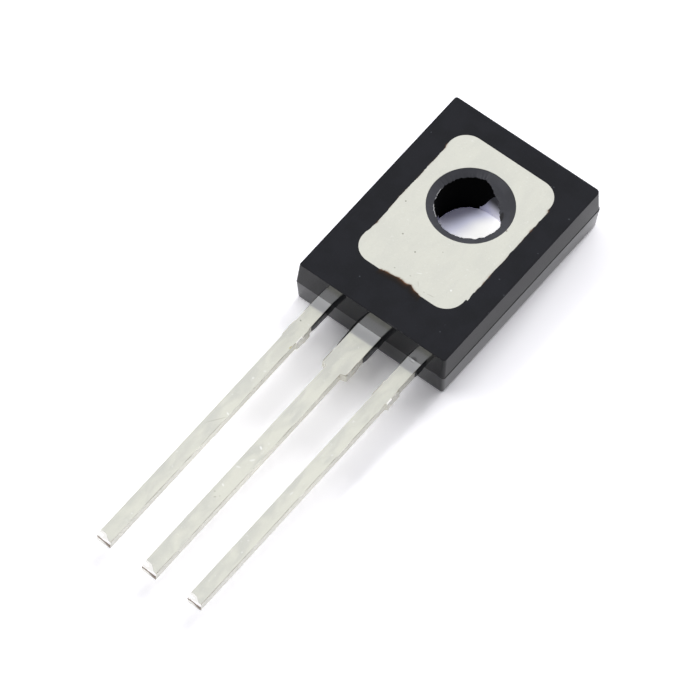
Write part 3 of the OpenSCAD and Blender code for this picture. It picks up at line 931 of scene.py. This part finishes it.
def tin_material(name, mottle, pale_share, marks, formed):
    """Matt tin plating: mottled between two shades, with specks, pale patches, a fine grain and
    marks, some of them painted highlights and shade, and brown copper where the plating is thin.
    On a formed lead the top is painted lighter towards its right side as painted shading, a painted
    reflection makes it paler near the moulding, its flanks are painted lighter as painted light,
    and the brown follows the line where the end breaks out. A sheared face is bright bare metal
    with a painted highlight, and upper edges are dark in places."""
    n = Nodes(bpy.data.materials.new(name))
    clouds = n.noise(0.5, 2.0, stretch=(1, 0.4, 1), distortion=0.5)
    # On a formed lead the mottling is shifted across the top, painted lighter towards its right
    # side and darker towards its left: painted shading.
    if formed:
        clouds = n.math("SUBTRACT", clouds, n.math("MULTIPLY", n.value("side"), 0.09))
    base = n.mix(n.ramp(clouds, 0.3, 0.7, 0.5 - mottle, 0.5 + mottle), TIN_WARM, TIN_DULL)
    base = n.mix(n.specks(0.45, 0.05, 0.20), base, TIN_SPECK)
    pale = n.math("MULTIPLY", n.ramp(n.noise(0.13, 2.0), 0.66, 0.72),
                  n.ramp(n.noise(1.3, 1.0), 0.48, 0.6))
    base = n.mix(n.math("MULTIPLY", pale, pale_share), base, TIN_PALE)
    grain = n.ramp(n.noise(0.055, 2.0, rough=0.7), 0.56, 0.72, 0.0, 0.22)
    base = n.mix(grain, base, GRAIN_DARK)
    grain = n.ramp(n.noise(0.07, 2.0, stretch=(1, 1, 1.7), rough=0.7), 0.58, 0.74, 0.0, 0.3)
    base = n.mix(grain, base, GRAIN_LIGHT)
    for middle, radii, turn, colour, strength in marks:
        base = n.mix(n.math("MULTIPLY", n.spot(middle, radii, turn), strength), base, colour)
    if formed:
        y = n.axes()["Y"]
        # Painted reflection: the tops turn pale and bluish next to the moulding.
        base = n.mix(n.ramp(y, NEAR_BODY_Y[0] * MM, NEAR_BODY_Y[1] * MM, 0.0, 0.9), base,
                     NEAR_BODY_REFLECTION)
        # The flanks are painted lighter than the top, most towards the moulding: painted light.
        on_flank = n.math("GREATER_THAN", n.math("ABSOLUTE", n.value("side")), 0.995)
        flank = n.mix(n.ramp(y, FLANK_Y[0] * MM, FLANK_Y[1] * MM), FLANK_AT_TIP, FLANK_AT_BODY)
        base = n.mix(on_flank, base, flank)
    cut = n.value("cut")
    # Sheared faces, the rolled tips and torn patches turn to bare metal with a painted highlight.
    base = n.mix(cut, base, BARE_METAL_HIGHLIGHT)
    # The upper edges turn dark in places.
    base = n.mix(n.value("rim"), base, DARK_EDGE_TONE)
    if formed:
        ragged = n.math("MULTIPLY", n.math("SUBTRACT", n.noise(0.08), 0.5), 0.06)
        gap = n.math("ABSOLUTE", n.math("ADD", n.value("break"), ragged))
        thin = n.ramp(gap, 0.04, 0.075, 1.0, 0.0)
    else:
        thin = n.value("brown")
    base = n.mix(thin, base, BROWN_COPPER)
    shine = n.math("SUBTRACT", n.ramp(cut, 0, 1, 0.52, 1.0), n.math("MULTIPLY", thin, 0.5))
    return n.finish(Base_Color=base, Metallic=shine, Roughness=0.12,
                    Normal=n.bump(n.noise(0.10), 0.0002))


def plain_metal(name, colour, rough, size_mm):
    """A metal with faint unevenness, for the pieces inside the moulding."""
    n = Nodes(bpy.data.materials.new(name))
    cloud = n.noise(size_mm)
    return n.finish(Base_Color=n.mix(cloud, colour, tuple(c * 0.8 for c in colour[:3]) + (1,)),
                    Metallic=1.0, Roughness=rough, Normal=n.bump(cloud, 0.002))


def polished_bore_painted_reflection():
    """The polished side of the bore, its colour a painted reflection of the floor: pale at its
    foot, and nearly black higher up.
    """
    n = Nodes(bpy.data.materials.new("polished_bore_painted_reflection"))
    high = n.ramp(n.axes()["Z"], 0.1 * MM, 1.06 * MM)
    return n.finish(Base_Color=n.mix(high, (0.64, 0.63, 0.70, 1), (0.02, 0.02, 0.017, 1)),
                    Metallic=0.95, Roughness=n.ramp(n.noise(0.3), 0.3, 0.7, 0.12, 0.16))


MOULDING = [
    epoxy_material("satin_moulding_face", (0.0105, 0.0110, 0.0145, 1), (0.0080, 0.0085, 0.0110, 1),
                   0.5, 0.16, 0.0012, stained=True),
    epoxy_material("satin_moulding_wall", (0.0095, 0.0098, 0.0118, 1), (0.0070, 0.0073, 0.0090, 1),
                   0.11, 0.20, 0.0003),
    epoxy_material("smooth_moulding_wall", (0.0100, 0.0105, 0.0130, 1), (0.0075, 0.0080, 0.0100, 1),
                   0.05, 0.47, 0.0002),
    epoxy_material("pale_hole_lining", (0.036, 0.037, 0.046, 1), (0.026, 0.027, 0.034, 1),
                   0.4, 0.35, 0.0015, slit=True),
    # The bore's wall: black moulding compound, painted far darker than elsewhere as painted shade
    # in the deep hole.
    epoxy_material("dark_hole_wall", (0.0006, 0.0006, 0.0008, 1), (0.0004, 0.0004, 0.0005, 1),
                   0.9, 0.03, 0.0003),
    polished_bore_painted_reflection(),
]
EPOXY = MOULDING[FRONT_WALL]
STAIN, GREY = (0.50, 0.44, 0.17, 1), (0.45, 0.44, 0.39, 1)
DARK_SPOT_AND_SHADE, PALE_SPOT_AND_GLINT = (0.17, 0.17, 0.15, 1), (0.97, 0.97, 0.95, 1)
# Marks on the plating: middle, radii, turn, colour and strength. The pale and dark spots at the
# leads' dents, and the pale streak with dark smudges on the emitter lead next to the moulding, are
# painted highlights and painted shade.
SCUFFS_AND_GLINTS = [
    ((-1.94, -9.26), (0.16, 0.055), 1.1, STAIN, 0.95),
    ((-2.46, -8.05), (0.04, 0.03), 0.0, DARK_SPOT_AND_SHADE, 0.8),
    ((-2.22, -13.89), (0.52, 0.018), 0.96, GREY, 0.6),
    ((-2.02, -13.37), (0.09, 0.035), -0.45, PALE_SPOT_AND_GLINT, 1), ((0.0, -13.8), (0.10, 0.04), -0.6, PALE_SPOT_AND_GLINT, 1),
    ((0.09, -14.47), (0.13, 0.05), 0.9, PALE_SPOT_AND_GLINT, 0.6), ((-0.17, -15.07), (0.12, 0.04), 0.3, PALE_SPOT_AND_GLINT, 0.6),
    ((-0.12, -16.11), (0.08, 0.04), -0.5, PALE_SPOT_AND_GLINT, 0.8), ((2.55, -6.78), (0.10, 0.03), 0.3, DARK_SPOT_AND_SHADE, 0.6),
    ((2.25, -6.62), (0.16, 0.07), 0.6, DARK_SPOT_AND_SHADE, 0.35), ((2.24, -6.75), (0.15, 0.03), 0.05, PALE_SPOT_AND_GLINT, 1),
    ((-0.03, -16.75), (0.06, 0.03), 0.7, GREY, 0.8), ((-0.2, -16.55), (0.05, 0.03), 0.3, GREY, 0.7),
    ((0.1, -16.6), (0.04, 0.03), 0.0, GREY, 0.5),
]
PAD_SCUFFS = [
    ((1.04, -4.5), (0.05, 0.03), 0.4, GREY, 0.5), ((1.35, -4.46), (0.20, 0.022), 0.15, GREY, 0.5),
    ((0.14, -4.22), (0.045, 0.035), 0.0, GREY, 0.6), ((-0.59, -4.31), (0.04, 0.03), 0.0, DARK_SPOT_AND_SHADE, 0.5),
    ((0.62, -4.33), (0.17, 0.018), -0.9, GREY, 0.45), ((1.85, -3.75), (0.05, 0.05), 0.0, PALE_SPOT_AND_GLINT, 0.8),
    ((0.35, -3.9), (0.14, 0.018), 0.5, PALE_SPOT_AND_GLINT, 0.6),
]
TIN = tin_material("tin_plating", 0.5, 1.0, SCUFFS_AND_GLINTS, True)
PAD_TIN = tin_material("tin_plated_pad", 0.14, 0.4, PAD_SCUFFS, False)
SOLDER = plain_metal("soft_solder", srgb(170, 170, 172), 0.35, 0.3)
SILICON = plain_metal("polished_silicon", srgb(88, 92, 104), 0.15, 0.4)
WIRE = plain_metal("aluminium_wire", srgb(215, 216, 220), 0.25, 0.1)

# ---- What each piece stands for ---------------------------------------------------------------


def dress(piece, material, nodes=()):
    """Give a new piece its material and its body, and hide the nodes it stands for."""
    for finish in material if isinstance(material, list) else [material]:
        piece.data.materials.append(finish)
    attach(piece, "root")
    if nodes:
        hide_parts(*nodes)


dress(moulding, MOULDING, ["moulded_body"])
dress(header_plate, PAD_TIN, ["header"])
dress(collector_lead, TIN, ["header"])
dress(base_lead, TIN, ["base_lead"])
dress(emitter_lead, TIN, ["emitter_lead"])
for flash in flashes:
    dress(flash, EPOXY)

INNER = {"die_solder": SOLDER, "silicon_die": SILICON, "emitter_wire": WIRE, "base_wire": WIRE,
         "moulded_body": EPOXY, "header": PAD_TIN, "emitter_lead": PAD_TIN, "base_lead": PAD_TIN}
for node, material in INNER.items():
    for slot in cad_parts[node].material_slots:
        slot.material = material
